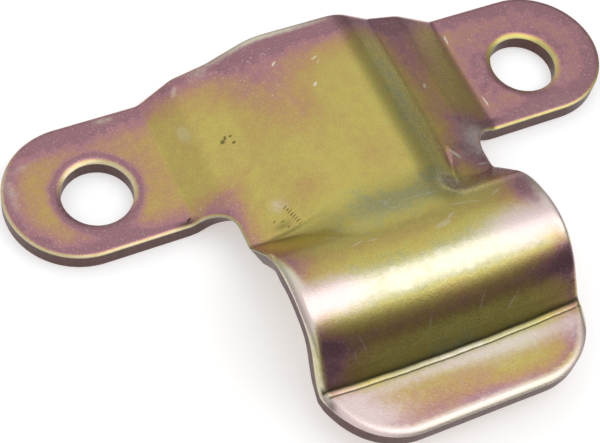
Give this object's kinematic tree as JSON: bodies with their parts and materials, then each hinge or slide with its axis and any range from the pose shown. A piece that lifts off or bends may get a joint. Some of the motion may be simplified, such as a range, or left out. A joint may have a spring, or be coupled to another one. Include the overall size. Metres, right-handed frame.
{
  "type": "stamped metal bracket",
  "caption": "Stamped steel saddle bracket: flat bolt-down ears, a raised ribbed middle and a half-round tongue that ends in a flat lip.",
  "frame": {"origin": "midway between the two bolt holes, on the mounting plane (the ears' underside)", "axes": "+X along the line of bolt holes, +Z away from the mounting plane, the tongue points to -Y"},
  "size_m": [0.0838, 0.0552, 0.0134],
  "materials": {
    "plated_steel": "satin yellow iridescent zinc plating on pressed steel"
  },
  "bodies": {
    "root": {"bracket": "plated_steel"}
  },
  "joints": []
}
